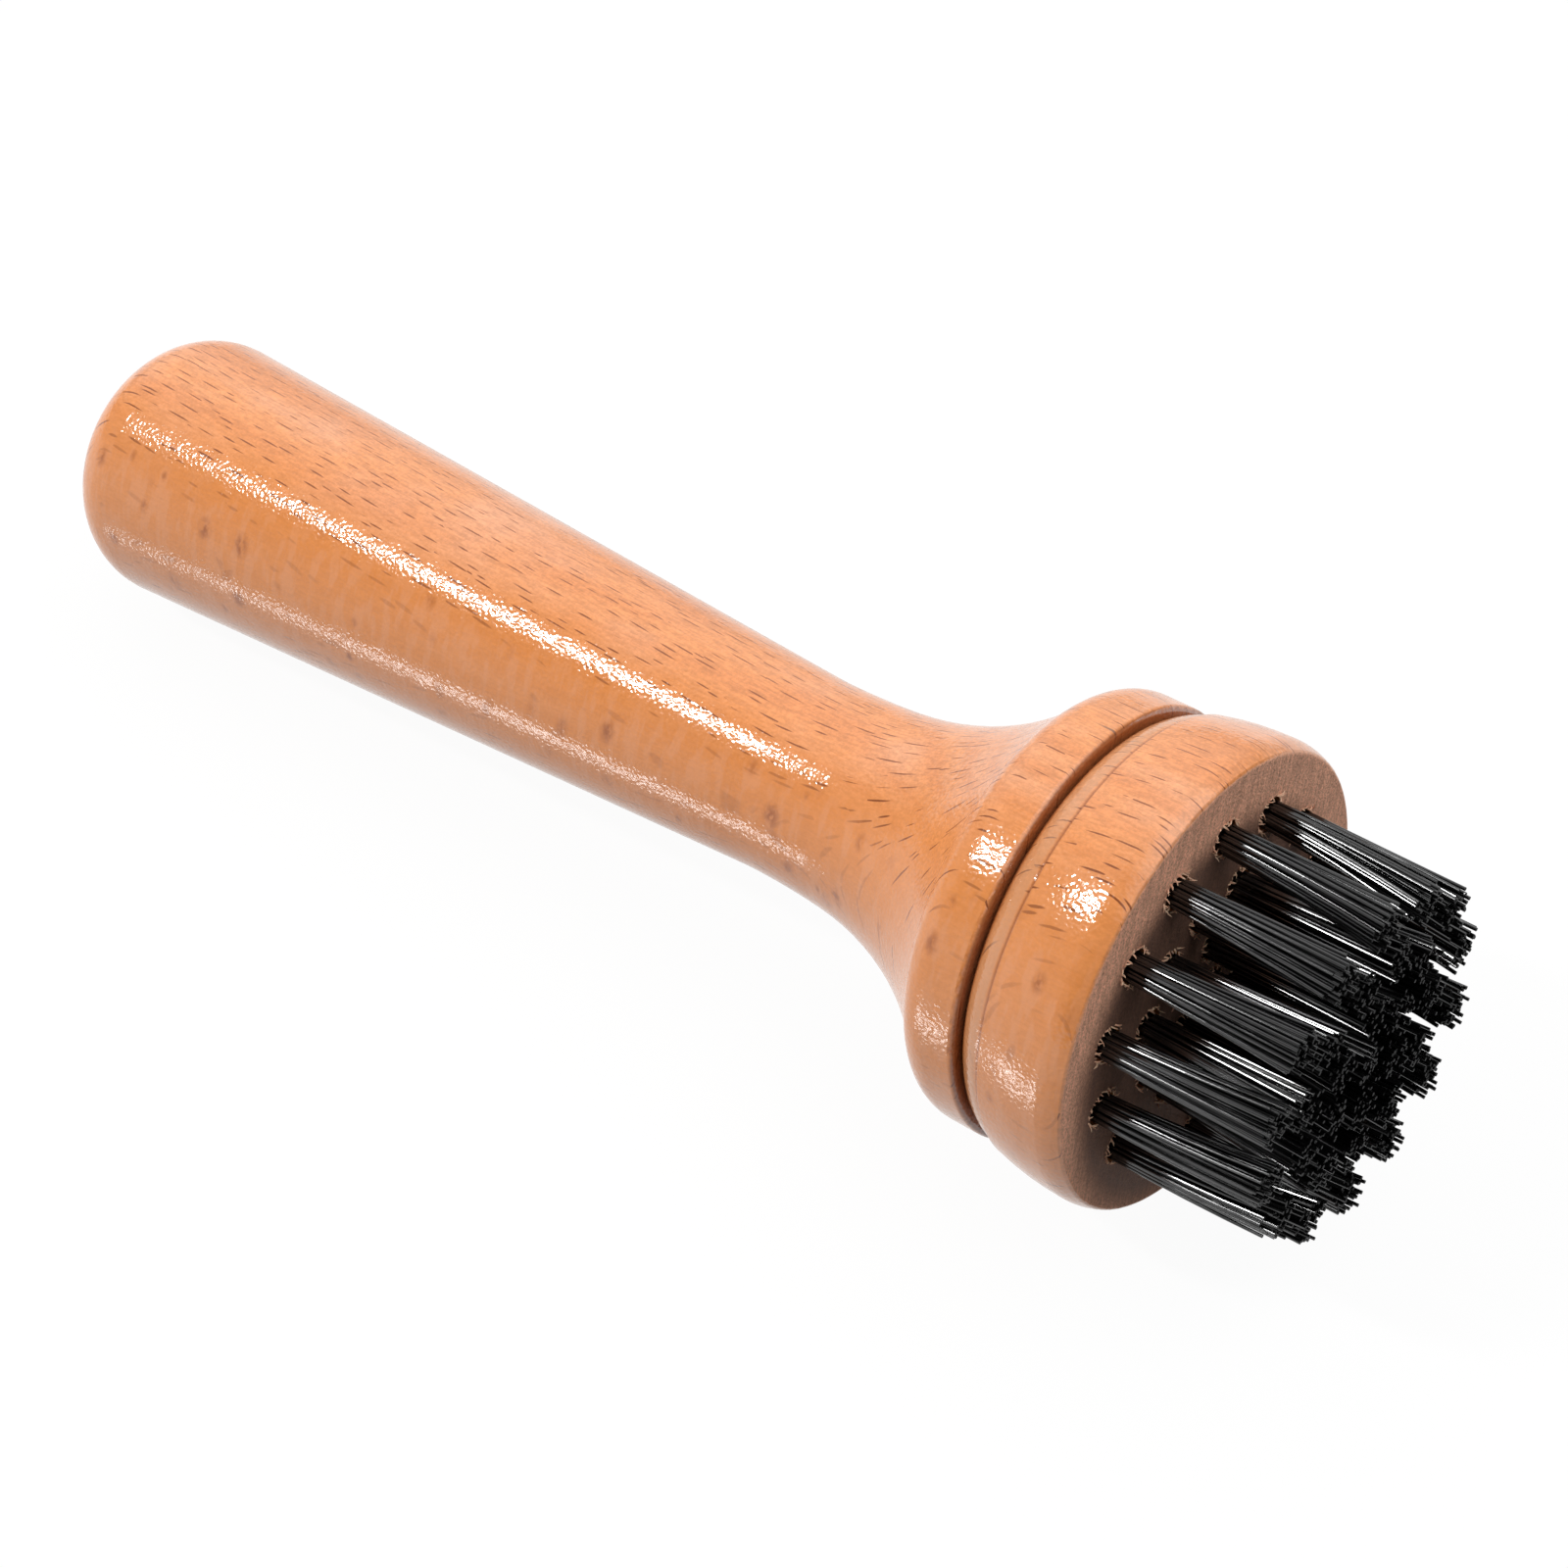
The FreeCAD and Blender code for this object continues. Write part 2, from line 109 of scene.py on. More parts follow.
class BrushColours(bpy.types.PropertyGroup):
    heart: FloatVectorProperty(
        name="Beech", description="Main colour of the lacquered beech",
        subtype="COLOR", default=(0.75, 0.285, 0.10), min=0, max=1)
    late: FloatVectorProperty(
        name="Late wood", description="Colour of the darker growth bands",
        subtype="COLOR", default=(0.63, 0.21, 0.065), min=0, max=1)
    pale: FloatVectorProperty(
        name="Pale figure", description="Colour of the pale figure on the quarter side",
        subtype="COLOR", default=(0.76, 0.33, 0.16), min=0, max=1)
    # also the colour of the painted shade behind the ring and of the pooled lacquer and painted shade at
    # the flange's foot
    fleck_and_shade: FloatVectorProperty(
        name="Ray fleck", description="Colour of the ray flecks",
        subtype="COLOR", default=(0.20, 0.05, 0.012), min=0, max=1)
    gold: FloatVectorProperty(
        name="Quarter side", description="Golden ground colour of the quarter side",
        subtype="COLOR", default=(0.72, 0.245, 0.055), min=0, max=1)
    patch: FloatVectorProperty(
        name="Ray patch", description="Colour of the soft patches on the quarter side",
        subtype="COLOR", default=(0.37, 0.105, 0.025), min=0, max=1)
    mineral: FloatVectorProperty(
        name="Mineral streak", description="Colour of the streak that crosses the groove",
        subtype="COLOR", default=(0.10, 0.055, 0.035), min=0, max=1)
    # painted sheen: the bead's greyer colour stands in for the light its rounded form catches
    bead_sheen: FloatVectorProperty(
        name="Bead", description="Colour of the duller bead behind the ring",
        subtype="COLOR", default=(0.50, 0.29, 0.17), min=0, max=1)
    # painted shade: the darkest colour painted on the bare wood between the tufts, in place of the shade
    # they cast
    field: FloatVectorProperty(
        name="Drilled field", description="Darkest colour of the bare wood between the tufts",
        subtype="COLOR", default=(0.055, 0.022, 0.011), min=0, max=1)
    bare: FloatVectorProperty(
        name="Bare end grain", description="Colour of the sanded, unlacquered face",
        subtype="COLOR", default=(0.82, 0.42, 0.27), min=0, max=1)
    fibre: FloatVectorProperty(
        name="Torn fibre", description="Colour of the fibres torn up by the drill",
        subtype="COLOR", default=(0.88, 0.64, 0.44), min=0, max=1)
    filament: FloatVectorProperty(
        name="Filament", description="Colour of the nylon filaments",
        subtype="COLOR", default=(0.0015, 0.0015, 0.0016), min=0, max=1)
    cut_end: FloatVectorProperty(
        name="Cut end", description="Colour of the filaments' cut ends",
        subtype="COLOR", default=(0.0032, 0.0032, 0.0034), min=0, max=1)


class BrushStudio(bpy.types.PropertyGroup):
    azimuth: FloatProperty(
        name="Camera azimuth", description="Turn of the camera from the side of the brush to its bristles",
        subtype="ANGLE", default=math.radians(39.85))
    elevation: FloatProperty(
        name="Camera elevation", description="Height angle of the camera above the floor",
        subtype="ANGLE", default=math.radians(43.62))
    lens: FloatProperty(
        name="Lens", description="Focal length on a 36 mm wide sensor, in millimetres",
        default=76.5, min=20, max=200)
    distance: FloatProperty(
        name="Camera distance", description="From the camera to the drilled face, along the view",
        default=0.28985, min=0.1, max=3.0, unit="LENGTH")
    face_right: FloatProperty(
        name="Face to the right",
        description="How far the drilled face's centre lies right of the view's middle",
        default=0.03704, min=-0.2, max=0.2, unit="LENGTH")
    face_down: FloatProperty(
        name="Face down", description="How far the drilled face's centre lies below the view's middle",
        default=0.01740, min=-0.2, max=0.2, unit="LENGTH")


# ---- mesh helpers ---------------------------------------------------------------------------

def new_piece(name, points, faces, materials, face_slots=None):
    mesh = bpy.data.meshes.new(name)
    mesh.from_pydata(points, [], faces)
    for material in materials:
        mesh.materials.append(material)
    if face_slots:
        mesh.polygons.foreach_set("material_index", face_slots)
    mesh.update()
    piece = bpy.data.objects.new(name, mesh)
    bpy.context.scene.collection.objects.link(piece)
    return piece


def square_frame(direction):
    """Two directions square to this one."""
    helper = SIDE if abs(direction.dot(SIDE)) < 0.9 else UP
    first = direction.cross(helper).normalized()
    return first, direction.cross(first).normalized()


def add_tube(store, spine, radii, sides, end_slot=0, twist=0.0):
    """Append a closed tube to store: its points, faces and material slots."""
    points, faces, slots = store
    base = len(points)
    first, second = square_frame((spine[-1] - spine[0]).normalized())
    for centre, radius in zip(spine, radii):
        for corner in range(sides):
            angle = twist + 2 * math.pi * corner / sides
            points.append(centre + (first * math.cos(angle) + second * math.sin(angle)) * radius)
    for ring in range(len(spine) - 1):
        low = base + ring * sides
        for corner in range(sides):
            after = (corner + 1) % sides
            faces.append((low + corner, low + after, low + sides + after, low + sides + corner))
            slots.append(0)
    faces.append(tuple(base + corner for corner in reversed(range(sides))))
    slots.append(0)
    top = base + (len(spine) - 1) * sides
    faces.append(tuple(top + corner for corner in range(sides)))
    slots.append(end_slot)


# ---- node helpers ---------------------------------------------------------------------------

class Nodes:
    """Adds and links shader nodes in one tree."""

    def __init__(self, tree):
        self.tree = tree

    def add(self, kind, inputs=None, **settings):
        node = self.tree.nodes.new(kind)
        for key, value in settings.items():
            setattr(node, key, value)
        for key, value in (inputs or {}).items():
            self.feed(node.inputs[key], value)
        return node

    def feed(self, socket, value):
        if isinstance(value, bpy.types.NodeSocket):
            self.tree.links.new(value, socket)
        else:
            socket.default_value = value

    def maths(self, operation, first, second=0.0, third=0.0):
        node = self.add("ShaderNodeMath", {0: first, 1: second, 2: third}, operation=operation)
        return node.outputs[0]

    def vector(self, operation, first, second=(0, 0, 0), output=0):
        node = self.add("ShaderNodeVectorMath", {0: first, 1: second}, operation=operation)
        return node.outputs[output]

    def noise(self, vector, scale, detail=2.0, roughness=0.5, output=0):
        node = self.add("ShaderNodeTexNoise", {"Vector": vector, "Scale": scale, "Detail": detail,
                                               "Roughness": roughness})
        return node.outputs[output]

    def ramp(self, value, low, high, to_low=0.0, to_high=1.0):
        node = self.add("ShaderNodeMapRange", {"Value": value, "From Min": low, "From Max": high,
                                               "To Min": to_low, "To Max": to_high},
                        interpolation_type="SMOOTHSTEP")
        return node.outputs[0]

    def mix(self, factor, first, second, blend="MIX"):
        node = self.add("ShaderNodeMix", data_type="RGBA", blend_type=blend)
        self.feed(node.inputs["Factor"], factor)
        self.feed(node.inputs["A"], first)
        self.feed(node.inputs["B"], second)
        return node.outputs["Result"]


def new_group(name, inputs, outputs):
    group = bpy.data.node_groups.new(name, "ShaderNodeTree")
    for label, kind, default in inputs:
        socket = group.interface.new_socket(label, in_out="INPUT", socket_type=kind)
        socket.default_value = default
    for label, kind in outputs:
        group.interface.new_socket(label, in_out="OUTPUT", socket_type=kind)
    nodes = Nodes(group)
    return group, nodes, nodes.add("NodeGroupInput"), nodes.add("NodeGroupOutput")


def place_group(nodes, name, inputs=None):
    node = nodes.add("ShaderNodeGroup")
    node.node_tree = bpy.data.node_groups[name]
    for key, value in (inputs or {}).items():
        nodes.feed(node.inputs[key], value)
    return node


def new_material(name):
    material = bpy.data.materials.new(name)
    material.use_nodes = True
    nodes = Nodes(material.node_tree)
    return material, nodes, material.node_tree.nodes["Principled BSDF"]


def rgba(colour):
    return (*colour, 1.0)


# ---- shared effects -------------------------------------------------------------------------

# The plank's rings lie nearly flat: their radial direction is a little off the brush's upper side.
RING_TILT = math.radians(-14)


def build_timber_frame():
    """Position in millimetres as (across the rings, along the rings, along the grain)."""
    group, nodes, _, out = new_group(
        "timber_frame", [], [("Timber", "NodeSocketVector"), ("Depth", "NodeSocketFloat"),
                             ("Facing", "NodeSocketFloat"), ("Quarter", "NodeSocketFloat")])
    here = nodes.add("ShaderNodeTexCoord").outputs["Object"]
    from_trim = nodes.vector("SUBTRACT", here, tuple(TRIM_CENTRE))
    radial = UP * math.cos(RING_TILT) + SIDE * math.sin(RING_TILT)
    around = radial.cross(AXIS)
    parts = [nodes.vector("DOT_PRODUCT", from_trim, tuple(direction / MILLIMETRE), output="Value")
             for direction in (radial, around, AXIS)]
    timber = nodes.add("ShaderNodeCombineXYZ", dict(enumerate(parts)))
    nodes.feed(out.inputs["Timber"], timber.outputs[0])
    nodes.feed(out.inputs["Depth"], nodes.maths("MULTIPLY", parts[2], -1.0))
    normal = nodes.add("ShaderNodeNewGeometry").outputs["Normal"]
    nodes.feed(out.inputs["Facing"], nodes.vector("DOT_PRODUCT", normal, tuple(AXIS), output="Value"))
    quarter = nodes.vector("DOT_PRODUCT", normal, tuple(around), output="Value")
    nodes.feed(out.inputs["Quarter"], nodes.maths("ABSOLUTE", quarter))


def build_ray_flecks():
    """Lens-shaped flecks: one in some cells of a stretched lattice, each with its own half sizes."""
    group, nodes, given, out = new_group(
        "ray_flecks",
        [("Timber", "NodeSocketVector", (0, 0, 0)), ("Cell", "NodeSocketVector", (6, 2.5, 6)),
         ("Half size", "NodeSocketVector", (3, 0.13, 1.6)), ("Share", "NodeSocketFloat", 0.8),
         ("Softness", "NodeSocketFloat", 0.4)],
        [("Mask", "NodeSocketFloat")])
    timber = given.outputs["Timber"]
    wander = nodes.noise(nodes.vector("MULTIPLY", timber, (0.09, 0.25, 0.05)), 1.0, 1.0, output="Color")
    bent = nodes.vector("ADD", timber, nodes.vector("MULTIPLY", wander, (0.8, 0.9, 0.0)))
    lattice = nodes.vector("DIVIDE", bent, given.outputs["Cell"])
    cells = nodes.add("ShaderNodeTexVoronoi", {"Vector": lattice, "Scale": 1.0, "Randomness": 1.0},
                      feature="F1")
    offset = nodes.vector("SUBTRACT", lattice, cells.outputs["Position"])
    offset = nodes.vector("MULTIPLY", offset, given.outputs["Cell"])
    chance = nodes.add("ShaderNodeSeparateColor", {"Color": cells.outputs["Color"]})
    growth = nodes.maths("MULTIPLY_ADD", chance.outputs["Green"], 0.9, 0.5)
    stretch = nodes.add("ShaderNodeCombineXYZ", {0: growth, 1: 1.0, 2: growth})
    size = nodes.vector("MULTIPLY", given.outputs["Half size"], stretch.outputs[0])
    reach = nodes.vector("LENGTH", nodes.vector("DIVIDE", offset, size), output="Value")
    inner = nodes.maths("SUBTRACT", 1.0, given.outputs["Softness"])
    lens = nodes.add("ShaderNodeMapRange", {"Value": reach, "From Min": 1.0, "From Max": inner},
                     interpolation_type="SMOOTHSTEP").outputs[0]
    present = nodes.maths("LESS_THAN", chance.outputs["Red"], given.outputs["Share"])
    nodes.feed(out.inputs["Mask"], nodes.maths("MULTIPLY", lens, present))


def build_wood_pores():
    """Fine fibre and pore tone, long along the grain."""
    group, nodes, given, out = new_group(
        "wood_pores", [("Timber", "NodeSocketVector", (0, 0, 0)), ("Stretch", "NodeSocketFloat", 0.16)],
        [("Fibre", "NodeSocketFloat"), ("Grit", "NodeSocketFloat")])
    squash = nodes.add("ShaderNodeCombineXYZ", {0: 1.0, 1: 1.0, 2: given.outputs["Stretch"]})
    stretched = nodes.vector("MULTIPLY", given.outputs["Timber"], squash.outputs[0])
    nodes.feed(out.inputs["Fibre"], nodes.noise(stretched, 3.2, 3.0, 0.6))
    nodes.feed(out.inputs["Grit"], nodes.noise(given.outputs["Timber"], 3.0, 2.0, 0.65))


def build_growth_bands():
    """Slow change of tone across the plank's growth rings."""
    group, nodes, given, out = new_group(
        "growth_bands", [("Timber", "NodeSocketVector", (0, 0, 0)), ("Spacing", "NodeSocketFloat", 2.4)],
        [("Band", "NodeSocketFloat"), ("Cloud", "NodeSocketFloat")])
    timber = given.outputs["Timber"]
    bend = nodes.noise(nodes.vector("MULTIPLY", timber, (0.03, 0.06, 0.018)), 1.0, 2.0)
    parts = nodes.add("ShaderNodeSeparateXYZ", {0: timber})
    across = nodes.maths("MULTIPLY_ADD", bend, 9.0, parts.outputs[0])
    turns = nodes.maths("DIVIDE", across, given.outputs["Spacing"])
    wave = nodes.maths("SINE", nodes.maths("MULTIPLY", turns, 2 * math.pi))
    uneven = nodes.noise(nodes.vector("MULTIPLY", timber, (0.22, 0.2, 0.05)), 1.0, 2.0)
    band = nodes.maths("MULTIPLY", nodes.maths("MULTIPLY_ADD", wave, 0.5, 0.5), uneven)
    nodes.feed(out.inputs["Band"], band)
    clouds = nodes.vector("MULTIPLY", timber, (0.12, 0.1, 0.06))
    nodes.feed(out.inputs["Cloud"], nodes.noise(clouds, 1.0, 3.0))


EFFECTS = (build_timber_frame, build_ray_flecks, build_wood_pores, build_growth_bands)


# ---- materials ------------------------------------------------------------------------------

# Bands round the handle, in millimetres behind the drilled face: where each one starts, is full,
# begins to fade and ends, and its share of the colour.
# painted shade: a dark line in the crease behind the ring
CREASE_SHADE_BEHIND_RING = (8.75, 8.98, 9.12, 9.45, 0.6)
# pooled lacquer and painted shade at the foot of the flange's wall, in the groove
POOLED_LACQUER_AND_SHADE_AT_FLANGE = (11.1, 11.7, 12.05, 12.35, 0.65)
# painted sheen: a greyer colour on the bead behind the ring, in place of the light its rounded form
# catches
PAINTED_BEAD_SHEEN = (9.2, 9.6, 11.0, 11.4, 0.4)

# The mineral streak is a thin lens in the timber's own millimetres.
MINERAL_CENTRE = (21.4, -2.8, -28.1)
MINERAL_HALF_SIZE = (2.4, 0.2, 3.4)

# Painted shade on the drilled field between the tufts: its middle below the axis, and where it starts and
# is full, in millimetres.
SHADE_FIELD_DROP = 2.5
SHADE_FIELD_EDGE = 21.0
SHADE_FIELD_FULL = 17.0


def band(nodes, place, spot):
    """Mask of one band round the handle."""
    start, full, fade, end, share = spot
    mask = nodes.maths("MULTIPLY", nodes.ramp(place, start, full), nodes.ramp(place, end, fade))
    return nodes.maths("MULTIPLY", mask, share)


def lacquered_beech(colours, sizes):
    """Satin lacquer over beech, bare and sanded on the drilled face and in the holes."""
    material, nodes, shader = new_material("lacquered_beech")
    place = place_group(nodes, "timber_frame")
    timber = place.outputs["Timber"]
    pores = place_group(nodes, "wood_pores", {"Timber": timber})
    bands = place_group(nodes, "growth_bands", {"Timber": timber})

    cloud = nodes.ramp(bands.outputs["Cloud"], 0.40, 0.66)
    tone = nodes.mix(cloud, rgba(colours.heart), rgba(colours.pale))
    dusk = nodes.maths("MULTIPLY", nodes.ramp(bands.outputs["Band"], 0.12, 0.62), 0.4)
    tone = nodes.mix(dusk, tone, rgba(colours.late))
    fibre = nodes.ramp(pores.outputs["Fibre"], 0.34, 0.66, 0.87, 1.10)
    grit = nodes.ramp(pores.outputs["Grit"], 0.34, 0.68, 0.91, 1.07)
    shade = nodes.maths("MULTIPLY", fibre, grit)
    tint = nodes.add("ShaderNodeCombineColor", {0: shade, 1: shade, 2: shade})
    tone = nodes.mix(1.0, tone, tint.outputs[0], "MULTIPLY")

    # ray flecks: dark dashes where the rings lie flat, soft patches on the quarter side
    quarter = nodes.ramp(place.outputs["Quarter"], 0.72, 0.97)
    silk = nodes.noise(nodes.vector("MULTIPLY", timber, (0.25, 0.5, 0.9)), 1.0, 2.0)
    silk = nodes.maths("MULTIPLY", nodes.ramp(silk, 0.45, 0.62), nodes.maths("MULTIPLY", quarter, 0.38))
    golden = nodes.ramp(place.outputs["Quarter"], 0.35, 0.9, 0.0, 0.75)
    tone = nodes.mix(golden, tone, rgba(colours.gold))
    tone = nodes.mix(silk, tone, rgba(colours.pale))
    dashes = place_group(nodes, "ray_flecks", {
        "Timber": timber, "Cell": (3.0, 1.15, 3.3), "Half size": (2.2, 0.085, 1.4), "Share": 0.92,
        "Softness": 0.45})
    depth = nodes.ramp(quarter, 0.0, 1.0, 0.92, 0.22)
    tone = nodes.mix(nodes.maths("MULTIPLY", dashes.outputs["Mask"], depth), tone, rgba(colours.fleck_and_shade))
    patches = place_group(nodes, "ray_flecks", {
        "Timber": nodes.vector("ADD", timber, (31.0, 17.0, 5.0)), "Cell": (4.4, 2.6, 3.8),
        "Half size": (1.5, 1.1, 1.0), "Share": 0.85, "Softness": 0.95})
    ragged = nodes.noise(nodes.vector("MULTIPLY", timber, (1.1, 1.1, 1.5)), 1.0, 2.0)
    depth = nodes.maths("MULTIPLY", quarter, nodes.ramp(ragged, 0.35, 0.6, 0.25, 0.95))
    tone = nodes.mix(nodes.maths("MULTIPLY", patches.outputs["Mask"], depth), tone, rgba(colours.patch))

    # one thin grey mineral streak that crosses the groove
    reach = nodes.vector("DIVIDE", nodes.vector("SUBTRACT", timber, MINERAL_CENTRE), MINERAL_HALF_SIZE)
    streak = nodes.ramp(nodes.vector("LENGTH", reach, output="Value"), 1.0, 0.3, 0.0, 0.75)
    tone = nodes.mix(streak, tone, rgba(colours.mineral))

    # painted shade darkens the crease behind the ring, pooled lacquer and painted shade darken the foot of
    # the flange's wall, and a painted sheen makes the bead between them greyer
    length = sizes.bristle_length / MILLIMETRE
    from_face = nodes.maths("SUBTRACT", place.outputs["Depth"], length)
    for spot, colour in ((CREASE_SHADE_BEHIND_RING, colours.fleck_and_shade), (POOLED_LACQUER_AND_SHADE_AT_FLANGE, colours.fleck_and_shade),
                         (PAINTED_BEAD_SHEEN, colours.bead_sheen)):
        tone = nodes.mix(band(nodes, from_face, spot), tone, rgba(colour))

    # bare wood begins just over the rim of the drilled face
    in_front = nodes.ramp(place.outputs["Depth"], length + 0.10, length + 0.0)
    facing = nodes.ramp(place.outputs["Facing"], 0.80, 0.97)
    bare = nodes.maths("MULTIPLY", in_front, facing)
    end_pores = nodes.noise(nodes.vector("MULTIPLY", timber, (1.0, 1.0, 0.1)), 4.5, 3.0, 0.7)
    end_rays = nodes.noise(nodes.vector("MULTIPLY", timber, (0.25, 3.0, 0.1)), 1.0, 2.0)
    end_shade = nodes.maths("MULTIPLY", nodes.ramp(end_pores, 0.3, 0.7, 0.62, 1.28),
                            nodes.ramp(end_rays, 0.35, 0.65, 0.85, 1.12))
    end_tint = nodes.add("ShaderNodeCombineColor", {0: end_shade, 1: end_shade, 2: end_shade})
    end_tone = nodes.mix(1.0, rgba(colours.bare), end_tint.outputs[0], "MULTIPLY")

    # painted shade: the bare wood between the tufts is darkened, most of all below the axis, in place of
    # the shade the tufts cast
    reach = nodes.vector("ADD", nodes.vector("MULTIPLY", timber, (1.0, 1.0, 0.0)), (SHADE_FIELD_DROP, 0.0, 0.0))
    reach = nodes.vector("LENGTH", reach, output="Value")
    field = nodes.ramp(reach, SHADE_FIELD_EDGE, SHADE_FIELD_FULL, 0.0, 0.85)
    end_tone = nodes.mix(field, end_tone, rgba(colours.field))
    nodes.feed(shader.inputs["Base Color"], nodes.mix(bare, tone, end_tone))

    lacquer = nodes.ramp(pores.outputs["Grit"], 0.3, 0.7, 0.09, 0.15)
    rough = nodes.add("ShaderNodeMix", {0: bare, 2: lacquer, 3: 0.78})
    nodes.feed(shader.inputs["Roughness"], rough.outputs[0])
    orange_peel = nodes.noise(timber, 2.9, 0.0)
    peel = nodes.add("ShaderNodeBump", {"Strength": 1.0, "Distance": 0.000036, "Height": orange_peel})
    sanded = nodes.add("ShaderNodeBump", {"Strength": nodes.maths("MULTIPLY", bare, 0.8),
                                          "Distance": 0.0002, "Height": end_pores,
                                          "Normal": peel.outputs[0]})
    nodes.feed(shader.inputs["Normal"], sanded.outputs[0])
    shader.inputs["Specular IOR Level"].default_value = 0.65
    return material


def black_nylon(colours):
    """Extruded filament: black and glossy, with faint streaks of wear along it."""
    material, nodes, shader = new_material("black_nylon")
    place = place_group(nodes, "timber_frame")
    streaks = nodes.noise(nodes.vector("MULTIPLY", place.outputs["Timber"], (3.0, 3.0, 0.25)), 1.0, 2.0)
    tone = nodes.mix(nodes.ramp(streaks, 0.45, 0.8), rgba(colours.filament), rgba(colours.cut_end))
    nodes.feed(shader.inputs["Base Color"], tone)
    nodes.feed(shader.inputs["Roughness"], nodes.ramp(streaks, 0.3, 0.7, 0.12, 0.19))
    shader.inputs["IOR"].default_value = 1.75
    return material


def cut_nylon(colours):
    """The filaments' cut ends: dull and slightly torn."""
    material, nodes, shader = new_material("cut_nylon")
    place = place_group(nodes, "timber_frame")
    torn = nodes.noise(place.outputs["Timber"], 5.0, 2.0)
    tone = nodes.mix(nodes.ramp(torn, 0.35, 0.7), rgba(colours.filament), rgba(colours.cut_end))
    nodes.feed(shader.inputs["Base Color"], tone)
    shader.inputs["Roughness"].default_value = 0.6
    shader.inputs["Specular IOR Level"].default_value = 0.25
    bump = nodes.add("ShaderNodeBump", {"Strength": 0.6, "Distance": 0.0001, "Height": torn})
    nodes.feed(shader.inputs["Normal"], bump.outputs[0])
    return material


def torn_fibre(colours):
    """Dry wood fibre, pale where it catches the light."""
    material, nodes, shader = new_material("torn_fibre")
    place = place_group(nodes, "timber_frame")
    pores = place_group(nodes, "wood_pores", {"Timber": place.outputs["Timber"], "Stretch": 1.0})
    tone = nodes.mix(nodes.ramp(pores.outputs["Grit"], 0.3, 0.7), rgba(colours.bare), rgba(colours.fibre))
    nodes.feed(shader.inputs["Base Color"], tone)
    shader.inputs["Roughness"].default_value = 0.8
    return material


def drawn_wire():
    """Flat drawn steel wire with fine draw lines."""
    material, nodes, shader = new_material("drawn_wire")
    here = nodes.add("ShaderNodeTexCoord").outputs["Object"]
    lines = nodes.noise(nodes.vector("MULTIPLY", here, (9000.0, 600.0, 9000.0)), 1.0, 2.0)
    tone = nodes.mix(lines, (0.42, 0.40, 0.36, 1.0), (0.62, 0.60, 0.56, 1.0))
    nodes.feed(shader.inputs["Base Color"], tone)
    nodes.feed(shader.inputs["Roughness"], nodes.ramp(lines, 0.3, 0.7, 0.28, 0.42))
    shader.inputs["Metallic"].default_value = 1.0
    return material


# ---- pieces ---------------------------------------------------------------------------------

def dress(node, material):
    """Give a frame node this material in every slot it has."""
    for slot in frame["nodes"][node].material_slots:
        slot.link = "OBJECT"
        slot.material = material


class BRUSH_OT_handle(bpy.types.Operator):
    """Finish the turned handle as lacquered beech with a bare drilled face"""
    bl_idname = "brush.handle"
    bl_label = "Turned Handle"

    def execute(self, context):
        scene = context.scene
        for build in EFFECTS:
            build()
        dress("handle", lacquered_beech(scene.brush_colours, scene.brush_sizes))
        return {"FINISHED"}


class BRUSH_OT_anchors(bpy.types.Operator):
    """Finish the anchor wires as drawn steel"""
    bl_idname = "brush.anchors"
    bl_label = "Anchor Wires"

    def execute(self, context):
        dress("anchor_wires", drawn_wire())
        return {"FINISHED"}


def middle_of(points):
    """The middle of these points across the brush, in the plane of the trimmed ends."""
    middle = TRIM_CENTRE.copy()
    for direction in (UP, SIDE):
        reach = [(point - TRIM_CENTRE).dot(direction) for point in points]
        middle += direction * (min(reach) + max(reach)) / 2
    return middle


def tuft_ends(node, bristle_length):
    """The centres of a tuft's hole mouth and of its trimmed end, from its frame solid."""
    points = [vertex.co for vertex in frame["nodes"][node].data.vertices]
    trimmed = [point for point in points if along_axis(point) < 0.01 * MILLIMETRE]
    sunk = [point for point in points if along_axis(point) > bristle_length + 0.5 * MILLIMETRE]
    return middle_of(sunk) - AXIS * bristle_length, middle_of(trimmed)


# A filament is a tube with this many flats. Most are turned alike, in radians, so that one flat
# of each catches the key lamp.
FILAMENT_SIDES = 13
FLAT_TURN = 0.154
FLAT_SPREAD = 0.09

# Torn fibres round one hole.
RIM_FIBRES = 34


def filament_spine(root, trim, spot, sizes, rng):
    """One filament from inside its hole to its cut end."""
    turn, share = spot
    out = UP * math.cos(turn) + SIDE * math.sin(turn)
    low = root + out * sizes.root_radius * share
    spread = sizes.trim_radius * share * rng.uniform(0.88, 1.06)
    high = trim + out * spread
    drift = rng.uniform(0, 2 * math.pi)
    stray = abs(rng.gauss(0, 0.10)) if rng.random() > 0.05 else rng.uniform(0.3, 0.9)
    high += (UP * math.cos(drift) + SIDE * math.sin(drift)) * stray * MILLIMETRE
    high -= AXIS * min(max(rng.gauss(0.4, 1.0), -1.4), 3.4) * sizes.ragged
    run = high - low
    sag = rng.uniform(-0.05, 0.12) * MILLIMETRE
    spine = [low - AXIS * 1.8 * MILLIMETRE, low]
    for step in (0.25, 0.5, 0.75, 1.0):
        bow = math.sin(math.pi * step) * sag
        lift = 0.5 * step + 0.5 * step * step
        spine.append(low + AXIS * run.dot(AXIS) * step
                     + (run - AXIS * run.dot(AXIS)) * lift + out * bow)
    return spine


